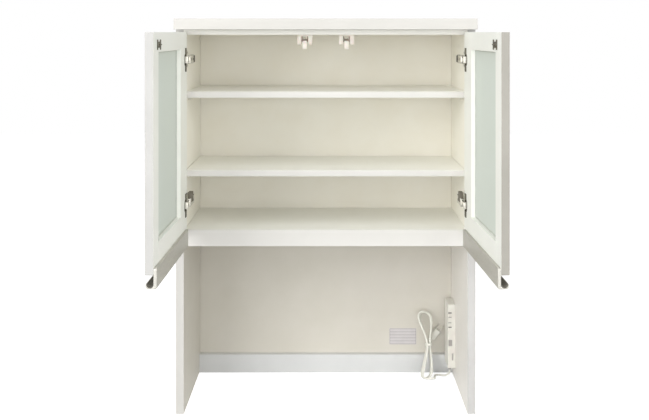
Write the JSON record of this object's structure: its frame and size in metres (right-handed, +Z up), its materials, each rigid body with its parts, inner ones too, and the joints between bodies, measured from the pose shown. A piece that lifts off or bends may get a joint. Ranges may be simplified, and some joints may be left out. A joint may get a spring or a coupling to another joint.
{
  "type": "step back cupboard",
  "caption": "White upper cupboard with two framed glass doors, movable shelves, an open bay below with an outlet strip, and its cord tied in a hank.",
  "frame": {"origin": "middle of the rear rail's underside, on the worktop that the unit stands on", "axes": "+Z up, +Y towards the wall, +X to the right seen from the front"},
  "size_m": [0.8049, 0.7084, 1.056],
  "materials": {
    "white_foil": "satin white foil on board",
    "ivory_foil": "matt ivory foil on board",
    "cool_white": "matt cool white foil",
    "frosted_glass": "frosted",
    "gasket_vinyl": "matt",
    "brushed_aluminium": "brushed",
    "nickel": "nickel plated",
    "dark_steel": "dark plated",
    "latch_plastic": "translucent",
    "outlet_plastic": "satin",
    "cord_vinyl": "satin vinyl"
  },
  "bodies": {
    "carcass": {"side_panel_left": "white_foil", "side_panel_right": "white_foil", "top_board": "white_foil", "carcass_top": "white_foil", "back_panel_upper": "ivory_foil", "back_panel_lower": "ivory_foil", "fixed_board": "ivory_foil", "front_rail": "white_foil", "rear_rail": "cool_white", "shelf_middle": "white_foil", "shelf_upper": "white_foil", "middle_shelf_pin_front_left": "nickel", "middle_shelf_pin_rear_left": "nickel", "upper_shelf_pin_front_left": "nickel", "upper_shelf_pin_rear_left": "nickel", "left_lower_hinge_plate": "nickel", "left_lower_hinge_arm": "nickel", "left_upper_hinge_plate": "nickel", "left_upper_hinge_arm": "nickel", "left_latch_body": "latch_plastic", "middle_shelf_pin_front_right": "nickel", "middle_shelf_pin_rear_right": "nickel", "upper_shelf_pin_front_right": "nickel", "upper_shelf_pin_rear_right": "nickel", "right_lower_hinge_plate": "nickel", "right_lower_hinge_arm": "nickel", "right_upper_hinge_plate": "nickel", "right_upper_hinge_arm": "nickel", "right_latch_body": "latch_plastic", "outlet_body": "outlet_plastic", "outlet_cover": "outlet_plastic", "cord_strain_relief": "outlet_plastic", "cord_lead": "cord_vinyl", "cord_hank": "cord_vinyl", "cord_tie": "cord_vinyl", "cord_tail": "cord_vinyl", "plug": "outlet_plastic"},
    "left_door": {"left_door_hinge_stile": "white_foil", "left_door_free_stile": "white_foil", "left_door_top_rail": "white_foil", "left_door_bottom_rail": "white_foil", "left_door_glass": "frosted_glass", "left_door_gasket": "gasket_vinyl", "left_door_pull": "brushed_aluminium", "left_door_strike": "dark_steel", "left_lower_hinge_cup": "dark_steel", "left_upper_hinge_cup": "dark_steel"},
    "right_door": {"right_door_hinge_stile": "white_foil", "right_door_free_stile": "white_foil", "right_door_top_rail": "white_foil", "right_door_bottom_rail": "white_foil", "right_door_glass": "frosted_glass", "right_door_gasket": "gasket_vinyl", "right_door_pull": "brushed_aluminium", "right_door_strike": "dark_steel", "right_lower_hinge_cup": "dark_steel", "right_upper_hinge_cup": "dark_steel"},
    "left_hook": {"left_latch_hook": "latch_plastic"},
    "right_hook": {"right_latch_hook": "latch_plastic"}
  },
  "joints": [
    {"name": "left_door_swing", "type": "hinge", "parent": "carcass", "child": "left_door", "pos_m": [-0.3874, -0.3105, 0.75], "axis": [0, 0, 1], "range_deg": [-3.6, 91.4]},
    {"name": "right_door_swing", "type": "hinge", "parent": "carcass", "child": "right_door", "pos_m": [0.3874, -0.3105, 0.75], "axis": [0, 0, -1], "range_deg": [-2.4, 92.6]},
    {"name": "left_hook_lift", "type": "hinge", "parent": "carcass", "child": "left_hook", "pos_m": [-0.056, -0.2455, 0.9967], "axis": [-1, 0, 0], "range_deg": [0, 18]},
    {"name": "right_hook_lift", "type": "hinge", "parent": "carcass", "child": "right_hook", "pos_m": [0.056, -0.2455, 0.9967], "axis": [-1, 0, 0], "range_deg": [0, 18]}
  ]
}
